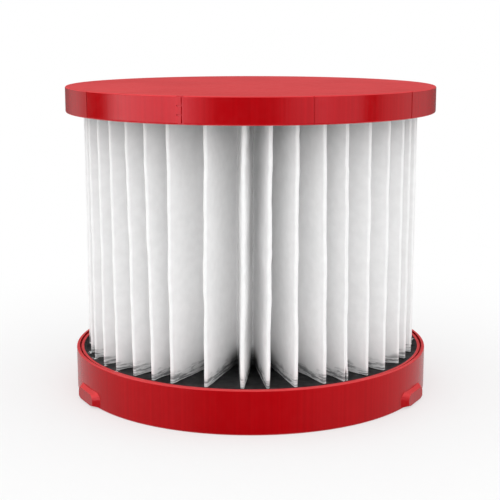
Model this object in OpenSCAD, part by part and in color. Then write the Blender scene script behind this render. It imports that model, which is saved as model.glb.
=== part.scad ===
// Pleated cartridge filter of a wet and dry vacuum cleaner, standing on its open end.
// The origin is the centre of the open end's foot, +Z points at the closed cap, and -Y is the front.
// Azimuths are in degrees, from the front towards +X.

/* [Overall] */
// Outer diameter of the closed cap, the widest piece
cap_d = 152; // [126:1:184]
// Height of the whole cartridge
total_h = 126; // [90:1:180]

/* [Closed cap] */
// Height of the cap's side wall
cap_h = 10.4; // [9:0.1:16]
// Thickness of the cap's flat plate
cap_plate = 2; // [1.2:0.1:3]
// Thickness of the cap's side wall
cap_wall = 1.6; // [1.2:0.1:2.4]
// Radius of the rounded edge round the plate
cap_round = 0.6; // [0.3:0.1:1]
// Number of fine upright grooves in the side wall
cap_grooves = 10; // [0:1:20]
// Width of a fine groove
groove_w = 0.5; // [0.3:0.1:1]
// Depth of a fine groove
groove_deep = 0.2; // [0.1:0.05:0.5]
// Width of the wider index groove
index_w = 0.9; // [0.5:0.1:2]
// Depth of the index groove and of its notches
index_deep = 0.4; // [0.2:0.1:0.8]
// Length of the index groove's notches
notch_len = 1.7; // [1:0.1:3]

/* [Open ring] */
// How far the ring's wall stands inside the cap's edge
ring_inset = 2; // [1.5:0.1:4]
// Height of the ring
ring_h = 17.4; // [14:0.1:24]
// Thickness of the ring's wall below its floor
skirt_t = 2; // [1.5:0.1:3]
// Width of the outer lip round the ring's top
lip_w = 1.2; // [0.8:0.1:2]
// Width of the groove behind the lip
rim_groove_w = 0.7; // [0.5:0.1:1.2]
// Depth of the groove behind the lip
rim_groove_deep = 2; // [0.5:0.1:3]
// Width of the ledge behind the groove
ledge_w = 1.1; // [0.8:0.1:2]
// How far the ledge lies below the lip
ledge_drop = 0.3; // [0:0.1:0.8]
// Height of the recess under the ring's floor
recess_h = 3.5; // [2:0.1:5]
// Thickness of the ring's floor
floor_t = 2.5; // [1.5:0.1:4]

/* [Open end] */
// Diameter of the bore that slides over the cleaner's spigot
bore_d = 62; // [48:1:76]
// Thickness of the collar round the bore
collar_t = 1.7; // [1.2:0.1:2.5]
// Height of the collar above the ring's floor
collar_h = 9; // [4:0.5:12]
// Flat land between the bore and the gasket's channel
seal_land = 6; // [3:0.5:9]
// Width of the gasket
seal_w = 6.4; // [4:0.2:8]
// How far the gasket's face lies above the foot
seal_up = 0.6; // [0.3:0.1:1]
// Thickness of the two ribs that hold the gasket
seal_rib_t = 1.2; // [0.8:0.1:2]

/* [Lugs] */
// Azimuths of the bayonet lugs
lug_at = [-62, 62, 180];
// Length of a lug where it leaves the wall
lug_foot_len = 21.4; // [14:0.2:24]
// Length of a lug's outer face
lug_len = 15.2; // [8:0.2:18]
// Height of a lug where it leaves the wall
lug_foot_h = 6.1; // [4:0.1:8]
// Height of a lug's outer face
lug_h = 4.1; // [2:0.1:6]
// Height of a lug's lower edge above the foot
lug_up = 0.8; // [0.5:0.1:3]
// Radius of the upper corners of a lug's outer face
lug_corner = 2.4; // [1:0.1:2.8]

/* [Pleated sheet] */
// Number of pleats
pleats = 40; // [28:1:44]
// Gap between the pleats' tips and the ring's ledge
tip_gap = 2.2; // [1:0.1:4]
// Thickness of the sheet
sheet_t = 0.7; // [0.4:0.05:0.9]
// Outside radius of a pleat's rounded tip
tip_round = 2; // [1.2:0.1:2.2]
// Radius of the groove at the bottom of a valley
valley_round = 0.5; // [0.3:0.05:0.7]
// Slit between the sheet's two free ends
seam_slit = 0.6; // [0.4:0.1:1]
// Length of the adhesive bead between the two ends
bead_len = 8; // [4:0.5:12]
// How far the bead lies behind the ends' edges
bead_back = 1.2; // [0.5:0.1:3]

/* [Inner core] */
// Thickness of the core's wall
core_t = 2; // [1.4:0.1:3]
// Number of upright bars
core_bars = 16; // [16:1:24]
// Number of window rows
core_rows = 8; // [8:1:14]
// Width of the bars and of the hoops between the windows
core_web = 2.4; // [1.6:0.1:3.5]

/* [Resin] */
// How far each resin face lies inside the edge of its pan
resin_back = 1; // [0.6:0.1:2]
// Resin between a buried end and the pan's floor
resin_under = 1; // [0.5:0.1:2]
// Height that the resin climbs up the ring's wall
climb_h = 0.5; // [0.2:0.1:0.6]
// Width of the climbing edge
climb_w = 1.6; // [1:0.1:2]

/* [Fits] */
// Clearance between the collar and the core that slides over it
core_fit = 0.3; // [0.1:0.05:0.5]
// Gap between the core and the pleats' inner folds
fold_gap = 0.6; // [0.4:0.1:1]
// Gap left between bonded round walls
bond = 0.05; // [0.02:0.01:0.1]
// Clearance on each side of the gasket in its channel
seal_fit = 0.1; // [0.05:0.05:0.3]

/* [Hidden] */

$fn = 96;
// Steps along a pleat's tip, a valley and a small rounded edge
tip_steps = 8;
valley_steps = 4;
edge_steps = 4;
// Overlap that keeps cuts and unions clean
eps = 0.5;

cap_red = [0.76, 0.06, 0.08];
resin_grey = [0.12, 0.12, 0.13];
sheet_white = [0.93, 0.93, 0.92];

cap_r = cap_d / 2;
cap_z = total_h - cap_h;
cap_floor_z = total_h - cap_plate;
ring_r = cap_r - ring_inset;
pan_r = ring_r - lip_w - rim_groove_w - ledge_w;
floor_z = recess_h + floor_t;
bore_r = bore_d / 2;
collar_r = bore_r + collar_t;
core_in_r = collar_r + core_fit;
core_r = core_in_r + core_t;
tip_r = pan_r - tip_gap;
ring_resin_z = ring_h - resin_back;
cap_resin_z = cap_z + resin_back;
sheet_bottom_z = floor_z + resin_under;
sheet_top_z = cap_floor_z - resin_under;
seal_in_r = bore_r + seal_land + seal_rib_t + seal_fit;
seal_out_r = seal_in_r + seal_w;
foot_chamfer = 0.6;

// The wider index groove is one of the fine ones, a little left of the front
index_at = -18.7;
notches = 4;
notch_w = 0.5;

// Each pleat's place against an even pitch, as a share of the pitch, hand-gathered as on a real pack
first_tip_at = -67.4;
uneven = [-0.05, -0.05, -0.1, -0.1, -0.2, -0.4, -0.1, 0.2, 0.1, 0.1, 0.2, 0.05, 0.1, 0.1, 0.15, -0.1];
// Pleat that holds the seam, counted from the first
seam_pleat = 11;
pitch = 360 / pleats;

// Centre-line radii of the tip and of the inner fold, and the circles that their centres lie on
tip_bend = tip_round - sheet_t / 2;
fold_bend = valley_round + sheet_t / 2;
tip_centre_r = tip_r - tip_round;
fold_centre_r = core_r + fold_gap + sheet_t + valley_round;

function around(r, at) = [r * sin(at), -r * cos(at)];
function unit(a) = [cos(a), sin(a)];
function left(a) = [-sin(a), cos(a)];
function angle_of(v) = atan2(v.y, v.x);
// The turn of angle a that lies nearest to angle b
function near(a, b) = b + (a - b + 1260) % 360 - 180;
function arc(c, r, a0, a1, n) = [for (i = [0:n]) c + r * unit(a0 + (a1 - a0) * i / n)];

// Pleats are counted from the seam, j = 0 and j = pleats being its two sides
function tip_at(j) =
    let (k = seam_pleat + j)
    first_tip_at + pitch * (k + uneven[(k % pleats) % len(uneven)]);
function fold_at(j) = (tip_at(j) + tip_at(j + 1)) / 2;
function end_side(j) = j == 0 ? 1 : -1;
function is_end(j) = j == 0 || j == pleats;
function tip_centre(j) =
    is_end(j)
    ? around(tip_r, tip_at(j)) + end_side(j) * (seam_slit + sheet_t) / 2 * unit(tip_at(j))
    : around(tip_centre_r, tip_at(j));
function fold_centre(j) = around(fold_centre_r, fold_at(j));
function bend_at(j) = is_end(j) ? 0 : tip_bend;

// Direction of the leg from tip j in to fold j, and from fold j out to tip j + 1
function leg_in(j) =
    let (v = fold_centre(j) - tip_centre(j))
    near(angle_of(v) + asin((bend_at(j) + fold_bend) / norm(v)), fold_at(j) + 90);
function leg_out(j) =
    let (v = tip_centre(j + 1) - fold_centre(j))
    near(angle_of(v) - asin((bend_at(j + 1) + fold_bend) / norm(v)), fold_at(j) - 90);

// One face of the sheet, side being 1 outside the cartridge and -1 on its core side
function tip_face(j, side) = arc(
    tip_centre(j), tip_bend + side * sheet_t / 2,
    leg_out(j - 1) - 90, near(leg_in(j), leg_out(j - 1) + 180) - 90, tip_steps
);
function fold_face(j, side) = arc(
    fold_centre(j), fold_bend - side * sheet_t / 2,
    leg_in(j) + 90, near(leg_out(j), leg_in(j) - 180) + 90, valley_steps
);
function end_point(j, side) =
    tip_centre(j) - side * sheet_t / 2 * left(j == 0 ? leg_in(0) : leg_out(pleats - 1));
function sheet_face(side) = concat(
    [end_point(0, side)],
    [for (j = [0:pleats - 1]) each concat(j == 0 ? [] : tip_face(j, side), fold_face(j, side))],
    [end_point(pleats, side)]
);
function reversed(p) = [for (i = [len(p) - 1:-1:0]) p[i]];

// Outline of the folded sheet seen from above
module sheet_section() {
    polygon(concat(sheet_face(1), reversed(sheet_face(-1))));
}

module tube(r_out, r_in, z0, z1) {
    translate([0, 0, z0])
        difference() {
            cylinder(r = r_out, h = z1 - z0);
            translate([0, 0, -eps])
                cylinder(r = r_in, h = z1 - z0 + 2 * eps);
        }
}

// Upright slot cut into the cap's side wall
module wall_slot(at, w, deep, z0, z1) {
    rotate([0, 0, at])
        translate([-w / 2, -cap_r - eps, z0])
            cube([w, deep + eps, z1 - z0]);
}

// Index groove with short notches on its left, evenly spaced up the wall
module index_mark() {
    notch_turn = (index_w + notch_len) / 2 / cap_r * 180 / PI;
    wall_slot(index_at, index_w, index_deep, cap_z - eps, total_h + eps);
    for (i = [0:notches - 1]) {
        z = cap_z + i * (cap_h - notch_w) / (notches - 1);
        low = i == 0 ? eps : 0;
        high = i == notches - 1 ? eps : 0;
        wall_slot(index_at - notch_turn, notch_len, index_deep, z - low, z + notch_w + high);
    }
}

// Closed end: a shallow pan turned upside down
module end_cap() {
    color(cap_red)
        difference() {
            rotate_extrude()
                polygon(concat(
                    [[0, total_h]],
                    arc([cap_r - cap_round, total_h - cap_round], cap_round, 90, 0, edge_steps),
                    arc([cap_r - cap_round, cap_z + cap_round], cap_round, 0, -90, edge_steps),
                    [[cap_r - cap_wall, cap_z], [cap_r - cap_wall, cap_floor_z], [0, cap_floor_z]]
                ));
            for (i = [1:1:cap_grooves - 1])
                wall_slot(
                    index_at + i * 360 / cap_grooves, groove_w, groove_deep,
                    cap_z - eps, total_h + eps
                );
            index_mark();
        }
}

// Resin that fills the cap round the buried ends of the sheet and the core
module cap_resin() {
    color(resin_grey)
        difference() {
            translate([0, 0, cap_resin_z])
                cylinder(r = cap_r - cap_wall - bond, h = cap_floor_z - cap_resin_z);
            tube(core_r + bond, core_in_r - bond, cap_resin_z - eps, sheet_top_z);
            translate([0, 0, cap_resin_z - eps])
                linear_extrude(sheet_top_z - cap_resin_z + eps)
                    sheet_section();
        }
}

// The filter medium, one folded sheet with its two ends side by side at the seam
module pleated_media() {
    color(sheet_white)
        translate([0, 0, sheet_bottom_z])
            linear_extrude(sheet_top_z - sheet_bottom_z)
                sheet_section();
}

// Adhesive that joins the sheet's two ends
module seam_bead() {
    inward = unit(leg_in(0));
    outward = unit(leg_out(pleats - 1));
    start = end_point(0, -1);
    finish = end_point(pleats, -1);
    far = bead_back + bead_len;
    color("beige")
        translate([0, 0, ring_resin_z])
            linear_extrude(cap_resin_z - ring_resin_z)
                polygon([
                    start + bead_back * inward, start + far * inward,
                    finish - far * outward, finish - bead_back * outward
                ]);
}

// Open lattice tube that holds the pleats up against the suction
module support_core() {
    low_z = ring_resin_z + core_web;
    high_z = cap_resin_z - core_web;
    row_h = (high_z - low_z + core_web) / core_rows;
    mid_r = (core_r + core_in_r) / 2;
    window_w = 2 * PI * mid_r / core_bars - core_web;
    color([0.09, 0.09, 0.1])
        difference() {
            tube(core_r, core_in_r, floor_z, sheet_top_z);
            for (i = [0:core_bars - 1], k = [0:core_rows - 1])
                rotate([0, 0, (i + 0.5) * 360 / core_bars])
                    translate([-window_w / 2, -core_r - eps, low_z + k * row_h])
                        cube([window_w, core_t + 3 * eps, row_h - core_web]);
        }
}

// Outline of a lug, seen from outside, with its lower edge at z = 0
module lug_outline(w, h, corner) {
    translate([-w / 2, 0])
        square([w, h - corner]);
    translate([corner - w / 2, 0])
        square([w - 2 * corner, h]);
    for (side = [-1, 1])
        translate([side * (w / 2 - corner), h - corner])
            circle(r = corner, $fn = 32);
}

// Bayonet lug whose sides slope from the wall to its outer face, its corners level with the cap's edge
module lug(at) {
    thin = 0.1;
    root_deep = 1;
    root_sink = 0.15;
    slope = (lug_foot_h - lug_h) / 2;
    foot_y = sqrt(ring_r * ring_r - lug_foot_len * lug_foot_len / 4) - root_sink;
    face_y = sqrt(cap_r * cap_r - lug_len * lug_len / 4);
    rotate([0, 0, at])
        hull() {
            translate([0, -foot_y + root_deep, lug_up])
                rotate([90, 0, 0])
                    linear_extrude(root_deep)
                        lug_outline(lug_foot_len, lug_foot_h, lug_corner + slope);
            translate([0, -face_y + thin, lug_up + slope / 2])
                rotate([90, 0, 0])
                    linear_extrude(thin)
                        lug_outline(lug_len, lug_h, lug_corner);
        }
}

// Open end: a ring-shaped pan with a central collar, a gasket channel below and lugs outside
module end_ring() {
    lip_r = ring_r - lip_w;
    ledge_r = lip_r - rim_groove_w;
    ledge_z = ring_h - ledge_drop;
    rib_in_r = seal_in_r - seal_fit - seal_rib_t;
    rib_out_r = seal_out_r + seal_fit;
    rib_z = recess_h / 3;
    lip_round = lip_w / 3;
    color(cap_red) {
        rotate_extrude()
            polygon(concat(
                [[ring_r - skirt_t, 0], [ring_r - foot_chamfer, 0], [ring_r, foot_chamfer]],
                arc([ring_r - lip_round, ring_h - lip_round], lip_round, 0, 90, edge_steps),
                [[lip_r, ring_h], [lip_r, ring_h - rim_groove_deep]],
                [[ledge_r, ring_h - rim_groove_deep], [ledge_r, ledge_z]],
                [[pan_r, ledge_z], [pan_r, floor_z], [collar_r, floor_z]],
                [[collar_r, floor_z + collar_h], [bore_r, floor_z + collar_h]],
                [[bore_r, recess_h + foot_chamfer], [bore_r + foot_chamfer, recess_h]],
                [[rib_in_r, recess_h], [rib_in_r, rib_z]],
                [[rib_in_r + seal_rib_t, rib_z], [rib_in_r + seal_rib_t, recess_h]],
                [[rib_out_r, recess_h], [rib_out_r, rib_z]],
                [[rib_out_r + seal_rib_t, rib_z], [rib_out_r + seal_rib_t, recess_h]],
                [[ring_r - skirt_t, recess_h]]
            ));
        for (at = lug_at)
            lug(at);
    }
}

// Resin that fills the ring's pan, climbing a little up the wall
module ring_resin() {
    wall_r = pan_r - bond;
    color(resin_grey)
        difference() {
            rotate_extrude()
                polygon([
                    [core_r + bond, floor_z], [wall_r, floor_z], [wall_r, ring_resin_z + climb_h],
                    [wall_r - climb_w / 3, ring_resin_z + climb_h / 3],
                    [wall_r - climb_w, ring_resin_z], [core_r + bond, ring_resin_z]
                ]);
            translate([0, 0, sheet_bottom_z])
                linear_extrude(ring_resin_z + climb_h - sheet_bottom_z + eps)
                    sheet_section();
        }
}

// Rubber ring in the channel under the floor, its face just inside the foot
module sealing_gasket() {
    edge = 0.6;
    color([0.05, 0.05, 0.05])
        rotate_extrude()
            polygon([
                [seal_in_r, recess_h], [seal_in_r, seal_up + edge], [seal_in_r + edge, seal_up],
                [seal_out_r - edge, seal_up], [seal_out_r, seal_up + edge], [seal_out_r, recess_h]
            ]);
}

end_cap();
cap_resin();
pleated_media();
seam_bead();
support_core();
end_ring();
ring_resin();
sealing_gasket();
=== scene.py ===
"""Pleated cartridge filter of a wet and dry vacuum cleaner, standing on its open end.

Everything is in metres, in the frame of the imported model: the origin is the centre of the foot,
+Z points up at the closed cap and -Y is the front. Azimuths are in degrees, from the front towards +X.
"""

import math

import bpy
import numpy as np
from mathutils.kdtree import KDTree
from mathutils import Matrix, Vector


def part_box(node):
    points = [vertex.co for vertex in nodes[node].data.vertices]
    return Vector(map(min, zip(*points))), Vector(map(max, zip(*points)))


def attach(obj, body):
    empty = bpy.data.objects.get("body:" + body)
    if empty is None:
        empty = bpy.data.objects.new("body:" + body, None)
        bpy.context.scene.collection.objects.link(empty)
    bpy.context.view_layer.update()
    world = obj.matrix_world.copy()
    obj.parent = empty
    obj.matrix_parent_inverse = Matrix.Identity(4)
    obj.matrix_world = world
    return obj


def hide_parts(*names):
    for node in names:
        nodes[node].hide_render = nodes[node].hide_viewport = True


MM = 0.001

# Camera, fitted to the cap's and the ring's outlines in the photograph
CAMERA_AT = (0.0, -0.5025, 0.1531)
CAMERA_DOWN = 10.896
LENS_MM = 86.8
SENSOR_MM = 36.0
CAMERA_SHIFT = -0.0012

# The sheet as it is folded, with the sizes of the solid that it stands for
PLEATS = 40
PITCH = 360 / PLEATS
FIRST_TIP_AT = -67.4
UNEVEN = [-0.05, -0.05, -0.1, -0.1, -0.2, -0.4, -0.1, 0.2, 0.1, 0.1, 0.2, 0.05, 0.1, 0.1, 0.15, -0.1]
SEAM_PLEAT = 11
SHEET_T = 0.7 * MM
TIP_R = 68.8 * MM
TIP_BEND = 0.45 * MM
FOLD_BEND = 0.85 * MM
FOLD_CENTRE_R = 36.8 * MM

# How far each pleat leans from its foot to its top, in degrees
LEAN = [-1.3, -1.0, -1.6, -2.0, -1.9, -0.5, 0.4, 0.7, 0.7, -0.1, -0.9, -0.8, -0.4, 0.4, 0.1, 0.5]
# The pleats' noses are pinched where they go into the resin
PINCH_H = 5.2 * MM
PINCHED_BEND = 0.32 * MM
# The two free ends stand apart at the foot and are pressed together above it
SLIT_OPEN = 0.7 * MM
SLIT_CLOSED = 0.06 * MM
SLIT_H = 4.2 * MM

TIP_STEPS = 8
FOLD_STEPS = 3
LEG_STEPS = 3

# Resin
CLIMB_H = 0.5 * MM
CLIMB_W = 1.6 * MM
MENISCUS_H = 0.3 * MM
MENISCUS_W = 0.35 * MM

# Radius, azimuth and number of the loose fibres that lie on the resin
FIBRE_TUFTS = [(69.0, -73.5, 9), (69.5, -65.5, 7), (69.8, -56.3, 6), (70.3, -48.3, 3), (69.4, 90.5, 5)]


def smoothstep(x, low, high):
    t = np.clip((x - low) / (high - low), 0.0, 1.0)
    return t * t * (3 - 2 * t)


def around(r, at):
    """Points at a radius and an azimuth in radians, as rows of x and y."""
    return np.stack([r * np.sin(at), -r * np.cos(at)], axis=-1)


def unit(angle):
    return np.stack([np.cos(angle), np.sin(angle)], axis=-1)


def soft_noise(rng, z, lengths, size):
    """Smooth random function of height: a few waves of random length and phase."""
    total = np.zeros_like(z)
    for length in lengths:
        total += np.sin(2 * math.pi * z / (length * rng.uniform(0.8, 1.25)) + rng.uniform(0, 2 * math.pi))
    return size * total / math.sqrt(len(lengths))


def kinks(rng, z, low, high, count, size, width):
    """Small sideways kinks of the fold at random heights."""
    total = np.zeros_like(z)
    for _ in range(count):
        at = rng.uniform(low, high)
        total += rng.uniform(-size, size) * np.exp(-(((z - at) / (width * rng.uniform(0.6, 1.4))) ** 2))
    return total


def link(obj):
    bpy.context.scene.collection.objects.link(obj)
    return obj


def mesh_object(name, vertices, faces, sharp=35):
    mesh = bpy.data.meshes.new(name)
    mesh.from_pydata([tuple(v) for v in vertices], [], faces)
    mesh.validate()
    mesh.shade_smooth()
    mesh.set_sharp_from_angle(angle=math.radians(sharp))
    return link(bpy.data.objects.new(name, mesh))


# Frame

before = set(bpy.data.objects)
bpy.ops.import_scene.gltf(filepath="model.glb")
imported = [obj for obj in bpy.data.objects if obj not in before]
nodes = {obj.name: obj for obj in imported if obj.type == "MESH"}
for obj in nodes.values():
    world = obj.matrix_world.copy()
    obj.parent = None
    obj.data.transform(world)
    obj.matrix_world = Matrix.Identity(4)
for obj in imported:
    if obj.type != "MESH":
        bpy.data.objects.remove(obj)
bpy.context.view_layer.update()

sheet_low, sheet_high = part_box("pleated_media")
ring_resin_low, ring_resin_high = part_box("ring_resin")
cap_resin_low, cap_resin_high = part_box("cap_resin")
RESIN_Z = ring_resin_high.z - CLIMB_H
CAP_RESIN_Z = cap_resin_low.z
RESIN_IN_R = 35.05 * MM
RESIN_OUT_R = ring_resin_high.x
CAP_RESIN_R = cap_resin_high.x


# Folded sheet


def sheet_levels():
    """Heights of the sheet's rings of points, close together at the pinched foot."""
    foot = np.arange(RESIN_Z, RESIN_Z + 8 * MM, 0.6 * MM)
    top = np.arange(CAP_RESIN_Z - 6 * MM, CAP_RESIN_Z + 0.1 * MM, 1.0 * MM)
    middle = np.linspace(foot[-1], top[0], 40)[1:-1]
    return np.concatenate([[sheet_low.z, RESIN_Z - 0.6 * MM], foot, middle, top, [sheet_high.z]])


def pleat_shapes(z):
    """Azimuth, bend and radius of every tip at every height, as arrays of heights by tips."""
    rise = np.clip((z - RESIN_Z) / (CAP_RESIN_Z - RESIN_Z), 0, 1)
    free = np.sin(math.pi * rise) ** 0.5
    pinch = 1 - np.clip((z - RESIN_Z) / PINCH_H, 0, 1)
    shapes = []
    for k in range(PLEATS):
        rng = np.random.default_rng(100 + k)
        lean = LEAN[k % len(LEAN)] + (rng.uniform(-0.6, 0.6) if k >= len(LEAN) else 0)
        at = FIRST_TIP_AT + PITCH * (k + UNEVEN[k % len(UNEVEN)]) + lean * rise
        wander = soft_noise(rng, z, (70 * MM, 31 * MM), 0.14) + soft_noise(rng, z, (9 * MM,), 0.035)
        low, high = RESIN_Z + 8 * MM, CAP_RESIN_Z - 1 * MM
        wander += kinks(rng, z, low, high, 2, 0.25, 2 * MM)
        wander += kinks(rng, z, CAP_RESIN_Z - 12 * MM, high, 2, 0.22, 1.4 * MM)
        at = at + wander * free
        bend = TIP_BEND * (1 + soft_noise(rng, z, (40 * MM, 13 * MM), 0.07))
        pinched = PINCHED_BEND * rng.uniform(0.8, 1.3)
        bend = bend + (pinched - bend) * pinch
        tip_r = TIP_R - rng.uniform(0, 0.25) * MM + soft_noise(rng, z, (60 * MM, 17 * MM), 0.09 * MM) * free
        shapes.append((np.radians(at), bend, tip_r))
    return [np.array([s[i] for s in shapes]).T for i in range(3)]


def sheet_centre_line(z):
    """Centre line of the folded sheet at every height, and its direction to the left, heights by points."""
    at, bend, tip_r = pleat_shapes(z)
    order = [(SEAM_PLEAT + j) % PLEATS for j in range(PLEATS + 1)]
    turn = [2 * math.pi if SEAM_PLEAT + j >= PLEATS else 0.0 for j in range(PLEATS + 1)]
    tip_at = at[:, order] + np.array(turn)
    bend, tip_r = bend[:, order].copy(), tip_r[:, order].copy()
    bend[:, [0, -1]] = 0
    fold_at = (tip_at[:, :-1] + tip_at[:, 1:]) / 2
    tips = around(tip_r - bend - SHEET_T / 2, tip_at)
    opening = 1 - smoothstep(z, RESIN_Z + 0.6 * SLIT_H, RESIN_Z + 1.4 * SLIT_H)
    slit = SLIT_CLOSED + (SLIT_OPEN - SLIT_CLOSED) * opening
    for j, side in ((0, 1), (PLEATS, -1)):
        tips[:, j] = around(tip_r[:, j], tip_at[:, j])
        tips[:, j] += side * ((slit + SHEET_T) / 2)[:, None] * unit(tip_at[:, j])
    folds = around(np.full_like(fold_at, FOLD_CENTRE_R), fold_at)
    inward = folds - tips[:, :-1]
    outward = tips[:, 1:] - folds

    def heading(v):
        return np.arctan2(v[..., 1], v[..., 0])

    def near(a, b):
        return b + (a - b + 7 * math.pi) % (2 * math.pi) - math.pi

    in_turn = np.arcsin((bend[:, :-1] + FOLD_BEND) / np.linalg.norm(inward, axis=-1))
    out_turn = np.arcsin((bend[:, 1:] + FOLD_BEND) / np.linalg.norm(outward, axis=-1))
    leg_in = near(heading(inward) + in_turn, fold_at + math.pi / 2)
    leg_out = near(heading(outward) - out_turn, fold_at - math.pi / 2)

    points, normals = [], []

    def add_arc(centre, r, a0, a1, steps, side):
        for i in range(steps + 1):
            a = a0 + (a1 - a0) * i / steps
            points.append(centre + r[:, None] * unit(a))
            normals.append(side * unit(a))

    def add_leg(start, end, normal, bow):
        for i in range(1, LEG_STEPS):
            s = i / LEG_STEPS
            sag = bow * math.sin(math.pi * s)
            points.append(start + (end - start) * s + sag[:, None] * normal)
            normals.append(normal)

    rise = np.clip((z - RESIN_Z) / (CAP_RESIN_Z - RESIN_Z), 0, 1)
    free = np.sin(math.pi * rise) ** 0.5
    fold_r = np.full_like(z, FOLD_BEND)
    for j in range(PLEATS):
        rng = np.random.default_rng(500 + j)
        if j == 0:
            points.append(tips[:, 0])
            normals.append(unit(leg_in[:, 0] - math.pi / 2))
        else:
            turn_end = near(leg_in[:, j], leg_out[:, j - 1] + math.pi)
            add_arc(tips[:, j], bend[:, j], leg_out[:, j - 1] - math.pi / 2, turn_end - math.pi / 2, TIP_STEPS, 1)
        fold_start = folds[:, j] + FOLD_BEND * unit(leg_in[:, j] + math.pi / 2)
        bow = soft_noise(rng, z, (90 * MM, 45 * MM), 0.28 * MM) * free
        add_leg(points[-1], fold_start, unit(leg_in[:, j] - math.pi / 2), bow)
        fold_end = near(leg_out[:, j], leg_in[:, j] - math.pi)
        add_arc(folds[:, j], fold_r, leg_in[:, j] + math.pi / 2, fold_end + math.pi / 2, FOLD_STEPS, -1)
        if j == PLEATS - 1:
            end = tips[:, PLEATS]
        else:
            end = tips[:, j + 1] + bend[:, j + 1][:, None] * unit(leg_out[:, j] - math.pi / 2)
        bow = soft_noise(rng, z, (90 * MM, 45 * MM), 0.28 * MM) * free
        add_leg(points[-1], end, unit(leg_out[:, j] - math.pi / 2), bow)
    points.append(tips[:, PLEATS])
    normals.append(unit(leg_out[:, -1] - math.pi / 2))
    return np.stack(points, axis=1), np.stack(normals, axis=1)


def grid_faces(rows, columns, first, flip=False):
    faces = []
    for i in range(rows - 1):
        for j in range(columns - 1):
            a = first + i * columns + j
            quad = (a, a + 1, a + columns + 1, a + columns)
            faces.append(quad[::-1] if flip else quad)
    return faces


def build_sheet():
    z = sheet_levels()
    line, normal = sheet_centre_line(z)
    rows, columns = line.shape[:2]
    heights = np.repeat(z[:, None], columns, axis=1)[..., None]
    outer = np.concatenate([line + normal * SHEET_T / 2, heights], axis=-1).reshape(-1, 3)
    inner = np.concatenate([line - normal * SHEET_T / 2, heights], axis=-1).reshape(-1, 3)
    count = rows * columns
    faces = grid_faces(rows, columns, 0) + grid_faces(rows, columns, count, flip=True)
    for j in range(columns - 1):
        faces.append((j + 1, j, count + j, count + j + 1))
        top = (rows - 1) * columns + j
        faces.append((top, top + 1, count + top + 1, count + top))
    for i in range(rows - 1):
        a, b = i * columns, (i + 1) * columns
        faces.append((a, b, count + b, count + a))
        a, b = a + columns - 1, b + columns - 1
        faces.append((b, a, count + a, count + b))
    sheet = mesh_object("folded_sheet", np.concatenate([outer, inner]), faces, sharp=60)
    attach(sheet, "root")
    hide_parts("pleated_media")
    return sheet


def build_seam_bead():
    """Adhesive between the sheet's two ends, from just above the open slit to the cap."""
    first_z = RESIN_Z + SLIT_H
    z = np.concatenate([[first_z], np.linspace(first_z + 0.5 * MM, CAP_RESIN_Z, 24)])
    line, normal = sheet_centre_line(z)
    near_edge, far_edge = 1.2 * MM, 9.2 * MM
    rings = []
    for end, leg in ((0, 1), (-1, -2)):
        face = line[:, end] - normal[:, end] * SHEET_T / 2
        along = line[:, leg] - line[:, end]
        along /= np.linalg.norm(along, axis=-1)[:, None]
        rings.append((face + near_edge * along, face + far_edge * along))
    corners = [rings[0][0], rings[0][1], rings[1][1], rings[1][0]]
    vertices = [(*corner[i], z[i]) for i in range(len(z)) for corner in corners]
    faces = [(0, 1, 2, 3)]
    for i in range(len(z) - 1):
        for c in range(4):
            a, b = 4 * i + c, 4 * i + (c + 1) % 4
            faces.append((a, a + 4, b + 4, b))
    last = 4 * (len(z) - 1)
    faces.append((last + 3, last + 2, last + 1, last))
    bead = mesh_object("seam_adhesive_bead", vertices, faces)
    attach(bead, "root")
    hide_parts("seam_bead")
    return bead


# Resin


def sheet_tree(z):
    """Search tree over the sheet's centre line at one height."""
    line = sheet_centre_line(np.array([z]))[0][0]
    step = 0.4 * MM
    samples = []
    for a, b in zip(line[:-1], line[1:]):
        n = max(1, int(np.linalg.norm(b - a) / step))
        samples += [a + (b - a) * i / n for i in range(n)]
    tree = KDTree(len(samples))
    for i, p in enumerate(samples):
        tree.insert((p[0], p[1], 0), i)
    tree.balance()
    return tree


def resin_face(r, at, tree, wall_r, rng_seed):
    """Height of the cast resin over its level: ripples, the climb at the wall and the edge at the sheet."""
    xy = around(r, at)
    rng = np.random.default_rng(rng_seed)
    height = np.zeros_like(r)
    for _ in range(6):
        d = rng.uniform(0, 2 * math.pi)
        wave = 2 * math.pi / (rng.uniform(7, 19) * MM)
        height += 0.035 * MM * np.sin(wave * (xy[..., 0] * math.cos(d) + xy[..., 1] * math.sin(d)) + rng.uniform(0, 6))
    edge = np.clip(1 - (wall_r - r) / CLIMB_W, 0, 1)
    height += CLIMB_H * edge**2
    if tree is not None:
        near = np.array([tree.find((p[0], p[1], 0))[2] for p in xy.reshape(-1, 2)]).reshape(r.shape)
        height += MENISCUS_H * np.exp(-np.clip(near - SHEET_T / 2, 0, None) / MENISCUS_W)
    return height


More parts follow.
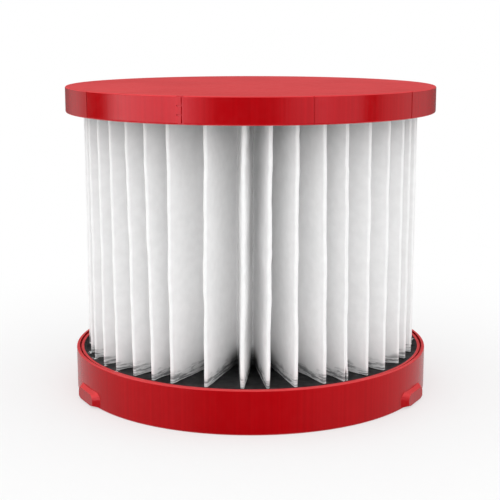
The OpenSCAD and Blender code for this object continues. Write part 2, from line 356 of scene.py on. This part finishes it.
def resin_pool(name, r_in, r_out, face_z, back_z, rings, steps, tree, seed):
    """Closed disc or ring of cast resin, its free face at face_z and its back on the moulded floor."""
    up = 1 if face_z > back_z else -1
    radii = np.linspace(r_in, r_out, rings)
    angles = np.arange(steps) * 2 * math.pi / steps
    r, at = np.meshgrid(radii, angles, indexing="ij")
    z = face_z + up * resin_face(r, at, tree, r_out, seed)
    xy = around(r, at)
    vertices = np.concatenate([xy, z[..., None]], axis=-1).reshape(-1, 3).tolist()
    last = (rings - 1) * steps
    back_in = len(vertices)
    vertices += [(*p, back_z) for p in xy[0].tolist()]
    back_out = len(vertices)
    vertices += [(*p, back_z) for p in xy[-1].tolist()]
    faces = []

    def strip(a, b):
        for j in range(steps):
            k = (j + 1) % steps
            quad = (a + j, b + j, b + k, a + k)
            faces.append(quad if up > 0 else quad[::-1])

    for i in range(rings - 1):
        strip(i * steps, (i + 1) * steps)
    strip(last, back_out)
    strip(back_out, back_in)
    strip(back_in, 0)
    return mesh_object(name, vertices, faces, sharp=50)


def build_resin():
    ring = resin_pool(
        "ring_resin_pool", RESIN_IN_R, RESIN_OUT_R, RESIN_Z, ring_resin_low.z, 64, 720, sheet_tree(RESIN_Z), 7
    )
    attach(ring, "root")
    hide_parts("ring_resin")
    cap = resin_pool(
        "cap_resin_pool", 0.5 * MM, CAP_RESIN_R, CAP_RESIN_Z, cap_resin_high.z, 60, 480, sheet_tree(CAP_RESIN_Z), 8
    )
    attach(cap, "root")
    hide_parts("cap_resin")
    return [ring, cap]


# Fibres


def build_fibres():
    """Loose white fibres of the sheet that lie on the resin close to the wall."""
    rng = np.random.default_rng(31)
    vertices, faces = [], []
    sides, steps = 5, 6
    for r, at, count in FIBRE_TUFTS:
        centre = np.array([*around(r * MM, math.radians(at)), RESIN_Z + 0.35 * MM])
        for _ in range(count):
            turn = rng.uniform(0, 2 * math.pi)
            bend = rng.uniform(-1.6, 1.6)
            length = rng.uniform(0.9, 1.7) * MM
            thick = rng.uniform(0.07, 0.12) * MM
            start = centre + np.array([*rng.uniform(-0.35, 0.35, 2), rng.uniform(0, 0.3)]) * MM
            first = len(vertices)
            for i in range(steps + 1):
                t = i / steps
                a = turn + bend * t
                across = np.array([-math.sin(a), math.cos(a), 0])
                at_point = start + np.array([math.cos(a), math.sin(a), 0.35 * math.sin(math.pi * t)]) * length * t
                width = thick * (1 - 0.75 * t)
                for k in range(sides):
                    b = 2 * math.pi * k / sides
                    vertices.append(at_point + width * (math.cos(b) * across + math.sin(b) * np.array([0, 0, 1])))
            for i in range(steps):
                for k in range(sides):
                    a, b = first + i * sides + k, first + i * sides + (k + 1) % sides
                    faces.append((a, b, b + sides, a + sides))
            faces.append(tuple(first + k for k in range(sides))[::-1])
            faces.append(tuple(first + steps * sides + k for k in range(sides)))
    fibres = mesh_object("loose_fibres", vertices, faces)
    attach(fibres, "root")
    return fibres


def fibre_white():
    s = Shader("fibre_white")
    p = Place(s)
    tone = s.noise(p.vector, 900.0, 2.0)
    return s.finish(Base_Color=s.mix(tone, grey(0.8), grey(0.92)), Roughness=0.8, Normal=s.bump(tone, 0.03 * MM))


# Materials


class Shader:
    """A material's node tree, with short calls that add nodes and link them."""

    def __init__(self, name):
        self.material = bpy.data.materials.new(name)
        self.material.use_nodes = True
        self.tree = self.material.node_tree
        self.tree.nodes.clear()
        self.output = self.tree.nodes.new("ShaderNodeOutputMaterial")

    def set(self, socket, value):
        if isinstance(value, bpy.types.NodeSocket):
            self.tree.links.new(value, socket)
        else:
            socket.default_value = value

    def node(self, kind, inputs=None, **properties):
        node = self.tree.nodes.new("ShaderNode" + kind)
        for key, value in properties.items():
            setattr(node, key, value)
        for key, value in (inputs or {}).items():
            self.set(node.inputs[key], value)
        return node

    def math(self, operation, a, b=0.0, c=0.0):
        return self.node("Math", {0: a, 1: b, 2: c}, operation=operation).outputs[0]

    def ramp(self, value, low, high, out_low=0.0, out_high=1.0, smooth=True):
        inputs = {"Value": value, "From Min": low, "From Max": high, "To Min": out_low, "To Max": out_high}
        kind = "SMOOTHSTEP" if smooth else "LINEAR"
        return self.node("MapRange", inputs, interpolation_type=kind).outputs["Result"]

    def noise(self, vector, scale, detail=2.0, roughness=0.5):
        inputs = {"Vector": vector, "Scale": scale, "Detail": detail, "Roughness": roughness}
        return self.node("TexNoise", inputs).outputs["Fac"]

    def noise_along(self, value, scale, detail=2.0):
        inputs = {"W": value, "Scale": scale, "Detail": detail}
        return self.node("TexNoise", inputs, noise_dimensions="1D").outputs["Fac"]

    def mix(self, factor, a, b):
        node = self.node("Mix", data_type="RGBA")
        self.set(node.inputs[0], factor)
        self.set(node.inputs[6], a)
        self.set(node.inputs[7], b)
        return node.outputs[2]

    def bump(self, height, distance, strength=1.0, normal=None):
        inputs = {"Height": height, "Distance": distance, "Strength": strength}
        if normal is not None:
            inputs["Normal"] = normal
        return self.node("Bump", inputs).outputs["Normal"]

    def finish(self, **inputs):
        shader = self.node("BsdfPrincipled")
        for key, value in inputs.items():
            self.set(shader.inputs[key.replace("_", " ")], value)
        self.set(self.output.inputs["Surface"], shader.outputs[0])
        return self.material


class Place:
    """Where a point of the object is: its coordinates, radius, azimuth and height."""

    def __init__(self, shader):
        self.vector = shader.node("TexCoord").outputs["Object"]
        xyz = shader.node("SeparateXYZ", {"Vector": self.vector})
        self.x, self.y, self.z = xyz.outputs
        self.radius = shader.math(
            "SQRT", shader.math("ADD", shader.math("MULTIPLY", self.x, self.x), shader.math("MULTIPLY", self.y, self.y))
        )
        self.azimuth = shader.math("ARCTAN2", self.x, shader.math("MULTIPLY", self.y, -1.0))


def stretched(shader, vector, scale):
    return shader.node("Mapping", {"Vector": vector, "Scale": scale}, vector_type="POINT").outputs[0]


def grey(value):
    return (value, value, value, 1.0)


def red_plastic():
    """Moulded red plastic: upright flow lines on the walls, a fine grain on the flats, and the flats painted a lighter
    pink than the walls as painted light and painted sheen.
    """
    s = Shader("red_plastic")
    p = Place(s)
    normal = s.node("NewGeometry").outputs["Normal"]
    slope = s.math("ABSOLUTE", s.node("SeparateXYZ", {"Vector": normal}).outputs[2])
    wall = s.ramp(slope, 0.2, 0.6, 1.0, 0.0)
    flat = s.math("SUBTRACT", 1.0, wall)
    around_mm = s.math("MULTIPLY", p.azimuth, 75.0)
    lines = s.math("ADD", s.noise_along(around_mm, 1.1, 3.0), s.noise_along(around_mm, 0.16, 1.0))
    grain = s.noise(p.vector, 2600.0, 2.0)
    waves = s.noise(p.vector, 45.0, 1.0)
    height = s.math("ADD", s.math("MULTIPLY", s.math("MULTIPLY", lines, wall), 0.7), s.math("MULTIPLY", grain, 0.12))
    bumped = s.bump(s.math("ADD", height, s.math("MULTIPLY", s.math("MULTIPLY", waves, wall), 0.4)), 0.03 * MM, 1.0)
    tone = s.noise(p.vector, 30.0, 3.0)
    streak = s.math("MULTIPLY", s.noise_along(around_mm, 0.7, 4.0), wall)
    shade = s.math("ADD", s.math("MULTIPLY", tone, 0.5), s.math("MULTIPLY", streak, 0.5))
    deep = s.mix(s.ramp(shade, 0.3, 0.7), (0.37, 0.0004, 0.002, 1), (0.44, 0.0009, 0.0034, 1))
    # Painted light and painted sheen: the flat faces get a lighter, pinker copy of the wall red.
    flat_painted_light_and_sheen = s.mix(s.ramp(tone, 0.3, 0.7), (0.60, 0.03, 0.033, 1), (0.65, 0.04, 0.043, 1))
    colour = s.mix(flat, deep, flat_painted_light_and_sheen)
    scuffs = s.noise(p.vector, 400.0, 5.0, 0.6)
    rough = s.math("ADD", s.ramp(scuffs, 0.35, 0.75, 0.17, 0.24), s.math("MULTIPLY", flat, 0.35))
    return s.finish(Base_Color=colour, Roughness=rough, Normal=bumped, IOR=1.5, Specular_Tint=(1.0, 0.3, 0.35, 1.0))


def resin():
    """Dark grey cast resin with a soft gloss, small pits and a little dust."""
    s = Shader("potting_resin")
    p = Place(s)
    ripples = s.noise(p.vector, 160.0, 2.0)
    pits = s.node("TexVoronoi", {"Vector": p.vector, "Scale": 520.0, "Randomness": 1.0}).outputs["Distance"]
    pit = s.ramp(pits, 0.0, 0.16, -1.0, 0.0)
    height = s.math("ADD", ripples, s.math("MULTIPLY", pit, 0.15))
    bumped = s.bump(height, 0.25 * MM, 0.6)
    dust = s.ramp(s.noise(p.vector, 90.0, 4.0, 0.6), 0.45, 0.8)
    colour = s.mix(dust, (0.006, 0.006, 0.007, 1), (0.016, 0.016, 0.017, 1))
    rough = s.ramp(s.noise(p.vector, 220.0, 3.0), 0.3, 0.7, 0.36, 0.52)
    return s.finish(Base_Color=colour, Roughness=rough, Normal=bumped, IOR=1.5, Specular_IOR_Level=0.22)


def filter_sheet():
    """White non-woven sheet: fibres, soft creases, the grey band where it has drunk resin, and near-black deep in the
    valleys near the foot, painted shade together with resin wicked up the folds.
    """
    s = Shader("filter_sheet")
    p = Place(s)
    fibres = s.noise(stretched(s, p.vector, (1.0, 1.0, 0.35)), 2400.0, 3.0, 0.6)
    mottle = s.noise(p.vector, 260.0, 3.0)
    creases = s.noise(stretched(s, p.vector, (1.0, 1.0, 0.18)), 120.0, 2.0)
    height = s.math("ADD", s.math("MULTIPLY", fibres, 0.35), s.math("MULTIPLY", mottle, 0.5))
    bumped = s.bump(s.math("ADD", height, s.math("MULTIPLY", creases, 1.6)), 0.1 * MM, 0.5)

    above = s.math("SUBTRACT", p.z, RESIN_Z)
    patch = s.noise(stretched(s, p.vector, (1.0, 1.0, 0.5)), 110.0, 2.0)
    reach = s.ramp(patch, 0.25, 0.75, 2.6 * MM, 6.2 * MM)
    band = s.math("SUBTRACT", 1.0, s.ramp(s.math("DIVIDE", above, reach), 0.4, 1.1))
    streaks = s.noise(stretched(s, p.vector, (0.6, 0.6, 6.0)), 190.0, 3.0, 0.65)
    band = s.math("MULTIPLY", band, s.ramp(streaks, 0.42, 0.58, 0.12, 1.0))
    clean_edge = s.ramp(above, 0.25 * MM, 0.7 * MM)
    band = s.math("MULTIPLY", band, clean_edge)

    # Painted shade, together with resin wicked up the folds: near-black deep in the valleys, fading outward and upward
    # from the foot.
    deep = s.ramp(p.radius, 38 * MM, 54 * MM, 1.0, 0.0)
    deep_rise = s.math("SUBTRACT", 1.0, s.ramp(above, 1.5 * MM, 9.0 * MM))
    valley_shade_and_wicking = s.math("MULTIPLY", deep, deep_rise)

    white = s.mix(s.ramp(mottle, 0.3, 0.7), grey(0.89), grey(0.93))
    stained = s.mix(s.math("MULTIPLY", band, 0.85), white, (0.16, 0.165, 0.17, 1))
    colour = s.mix(s.math("MULTIPLY", valley_shade_and_wicking, 0.9), stained, grey(0.03))
    return s.finish(Base_Color=colour, Roughness=0.85, Normal=bumped, IOR=1.4, Specular_IOR_Level=0.3)


def seam_adhesive():
    s = Shader("seam_adhesive")
    p = Place(s)
    flow = s.noise(stretched(s, p.vector, (1.0, 1.0, 0.3)), 350.0, 3.0)
    colour = s.mix(flow, (0.62, 0.57, 0.44, 1), (0.74, 0.70, 0.58, 1))
    return s.finish(Base_Color=colour, Roughness=s.ramp(flow, 0.3, 0.7, 0.3, 0.5), Normal=s.bump(flow, 0.2 * MM))


def core_plastic():
    s = Shader("core_plastic")
    p = Place(s)
    grain = s.noise(p.vector, 1800.0, 3.0)
    tone = s.noise(p.vector, 60.0, 2.0)
    colour = s.mix(tone, (0.012, 0.012, 0.013, 1), (0.022, 0.022, 0.023, 1))
    return s.finish(Base_Color=colour, Roughness=s.ramp(grain, 0.3, 0.7, 0.4, 0.55), Normal=s.bump(grain, 0.04 * MM))


def gasket_rubber():
    s = Shader("gasket_rubber")
    p = Place(s)
    grain = s.noise(p.vector, 1200.0, 4.0, 0.6)
    bloom = s.ramp(s.noise(p.vector, 140.0, 3.0), 0.45, 0.8)
    colour = s.mix(bloom, (0.012, 0.012, 0.012, 1), (0.03, 0.03, 0.031, 1))
    return s.finish(Base_Color=colour, Roughness=s.ramp(grain, 0.3, 0.7, 0.6, 0.8), Normal=s.bump(grain, 0.05 * MM))


def paint(obj, material):
    obj.data.materials.clear()
    obj.data.materials.append(material)


def paint_node(name, material):
    """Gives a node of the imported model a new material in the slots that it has."""
    for slot in nodes[name].material_slots:
        slot.material = material


# Stage


def build_floor():
    size = 6.0
    corners = [(-size, -size, 0), (size, -size, 0), (size, size, 0), (-size, size, 0)]
    floor = mesh_object("floor", corners, [(0, 1, 2, 3)])
    floor.visible_glossy = False
    s = Shader("floor")
    p = Place(s)
    whiteness = s.ramp(p.radius, 0.08, 0.26, 0.55, 1.0)
    camera = s.node("LightPath").outputs["Is Camera Ray"]
    paper = s.node("BsdfDiffuse", {"Color": grey(0.74)})
    white = s.node("Emission", {"Color": grey(1.0), "Strength": 1.0})
    blend = s.node("MixShader", {0: s.math("MULTIPLY", whiteness, camera), 1: paper.outputs[0], 2: white.outputs[0]})
    s.set(s.output.inputs["Surface"], blend.outputs[0])
    paint(floor, s.material)
    return floor


def build_world():
    """Even studio air for the diffuse surfaces, and white to the camera."""
    world = bpy.data.worlds.new("studio")
    bpy.context.scene.world = world
    world.use_nodes = True
    world.cycles_visibility.glossy = False
    tree = world.node_tree
    tree.nodes.clear()
    path = tree.nodes.new("ShaderNodeLightPath")
    strength = tree.nodes.new("ShaderNodeMapRange")
    air = tree.nodes.new("ShaderNodeBackground")
    output = tree.nodes.new("ShaderNodeOutputWorld")
    strength.inputs["To Min"].default_value = AIR_LIGHT
    strength.inputs["To Max"].default_value = 1.0
    air.inputs["Color"].default_value = grey(1.0)
    tree.links.new(path.outputs["Is Camera Ray"], strength.inputs["Value"])
    tree.links.new(strength.outputs["Result"], air.inputs["Strength"])
    tree.links.new(air.outputs[0], output.inputs["Surface"])


def lamp(name, place, width, tall, radiance):
    """Soft box that faces the object, its brightness given as radiance."""
    light = bpy.data.lights.new(name, "AREA")
    light.shape = "RECTANGLE"
    light.size, light.size_y = width, tall
    light.energy = radiance * math.pi * width * tall
    obj = link(bpy.data.objects.new(name, light))
    obj.location = place
    toward = np.array([0, 0, 0.06]) - np.array(place)
    flat = math.hypot(toward[0], toward[1])
    obj.rotation_euler = (math.atan2(flat, -toward[2]), 0, math.atan2(-toward[0], toward[1]))
    obj.visible_camera = False
    obj.visible_glossy = False
    return obj


AIR_LIGHT = 1.08
TENT_R = 1.0
# Glowing panels of the tent that the plastic mirrors: from and to in azimuth, softness of each edge, brightness
TENT_PANELS = [
    (-88, -35, 9, 3, 4.2),
    (-44, -24, 5, 4, 1.8),
    (20, 68, 9, 3, 1.9),
    (39, 45, 4, 4, 1.2),
    (80, 122, 3, 24, 0.8),
    (-136, -113, 16, 3, 0.55),
    (120, 180, 20, 1, 0.16),
    (-180, -120, 1, 20, 0.16),
]


def build_tent():
    """Wall of light that only mirroring surfaces see, standing round the object."""
    steps, low, high = 96, -0.9, 1.5
    vertices = []
    for z in (low, high):
        for i in range(steps):
            a = 2 * math.pi * i / steps
            vertices.append((TENT_R * math.sin(a), -TENT_R * math.cos(a), z))
    faces = [(i, (i + 1) % steps, steps + (i + 1) % steps, steps + i) for i in range(steps)]
    tent = mesh_object("tent", vertices, faces)
    tent.visible_camera = False
    tent.visible_diffuse = False
    tent.visible_shadow = False
    s = Shader("tent")
    p = Place(s)
    at = s.math("MULTIPLY", p.azimuth, 180 / math.pi)
    total = 0.0
    for start, end, soft_in, soft_out, level in TENT_PANELS:
        rise = s.ramp(at, start - soft_in, start + soft_in)
        fall = s.ramp(at, end - soft_out, end + soft_out, 1.0, 0.0)
        total = s.math("ADD", total, s.math("MULTIPLY", s.math("MULTIPLY", rise, fall), level))
    upper = s.math("MULTIPLY", total, s.ramp(p.z, -0.2, -0.06))
    side = s.ramp(s.math("ABSOLUTE", at), 14, 55, 0.0, 0.55)
    lower = s.math("MULTIPLY", side, s.ramp(p.z, -0.2, -0.06, 1.0, 0.0))
    glow = s.node("Emission", {"Color": grey(1.0), "Strength": s.math("ADD", upper, lower)})
    s.set(s.output.inputs["Surface"], glow.outputs[0])
    paint(tent, s.material)
    return tent


def build_lights():
    lamp("top_box", (0, -0.35, 1.1), 1.2, 1.2, 0.9)


def build_camera():
    camera = bpy.data.cameras.new("camera")
    camera.lens = LENS_MM
    camera.sensor_width = SENSOR_MM
    camera.shift_x = CAMERA_SHIFT
    obj = link(bpy.data.objects.new("camera", camera))
    obj.location = CAMERA_AT
    obj.rotation_euler = (math.radians(90 - CAMERA_DOWN), 0, 0)
    bpy.context.scene.camera = obj


def main():
    build_camera()
    build_world()
    build_lights()
    build_tent()
    build_floor()
    bpy.context.scene.view_settings.view_transform = "Standard"
    bpy.context.scene.cycles.max_bounces = 24
    bpy.context.scene.cycles.diffuse_bounces = 12

    paint(build_sheet(), filter_sheet())
    paint(build_seam_bead(), seam_adhesive())
    paint(build_fibres(), fibre_white())
    cast = resin()
    for pool in build_resin():
        paint(pool, cast)
    red = red_plastic()
    paint_node("end_cap", red)
    paint_node("end_ring", red)
    paint_node("support_core", core_plastic())
    paint_node("sealing_gasket", gasket_rubber())


main()
